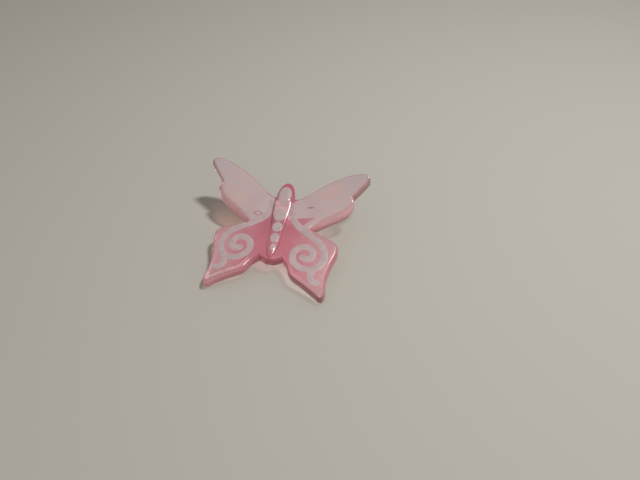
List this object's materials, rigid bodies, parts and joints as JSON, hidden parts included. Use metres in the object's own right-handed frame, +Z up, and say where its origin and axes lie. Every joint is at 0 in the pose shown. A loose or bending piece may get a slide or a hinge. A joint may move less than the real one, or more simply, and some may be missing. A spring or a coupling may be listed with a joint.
{
  "type": "doll pacifier",
  "caption": "Doll's pacifier: a dished, butterfly-shaped shield of clear pink plastic with white scroll print, and a short soft teat in a socket on its back.",
  "frame": {"origin": "middle of the underside of the box round the resting pacifier, on the surface it lies on", "axes": "+Z up from the surface, +X from the left wings to the right wings, +Y towards the butterfly's head"},
  "size_m": [0.0322, 0.026, 0.0109],
  "materials": {
    "clear_pink_plastic": "glossy, tinted and see-through",
    "clear_soft_rubber": "smooth, soft and cloudy",
    "thin_white_print": "thin white ink, streaky, pink showing through",
    "white_print": "dense greyish white ink, glossy"
  },
  "bodies": {
    "root": {"butterfly_shield": "clear_pink_plastic", "teat": "clear_soft_rubber", "left_forewing_print": "thin_white_print", "left_hindwing_print": "white_print", "right_forewing_print": "thin_white_print", "right_hindwing_print": "white_print", "head_print": "white_print", "body_print_1": "white_print", "body_print_2": "white_print", "body_print_3": "white_print", "body_print_4": "white_print"}
  },
  "joints": []
}
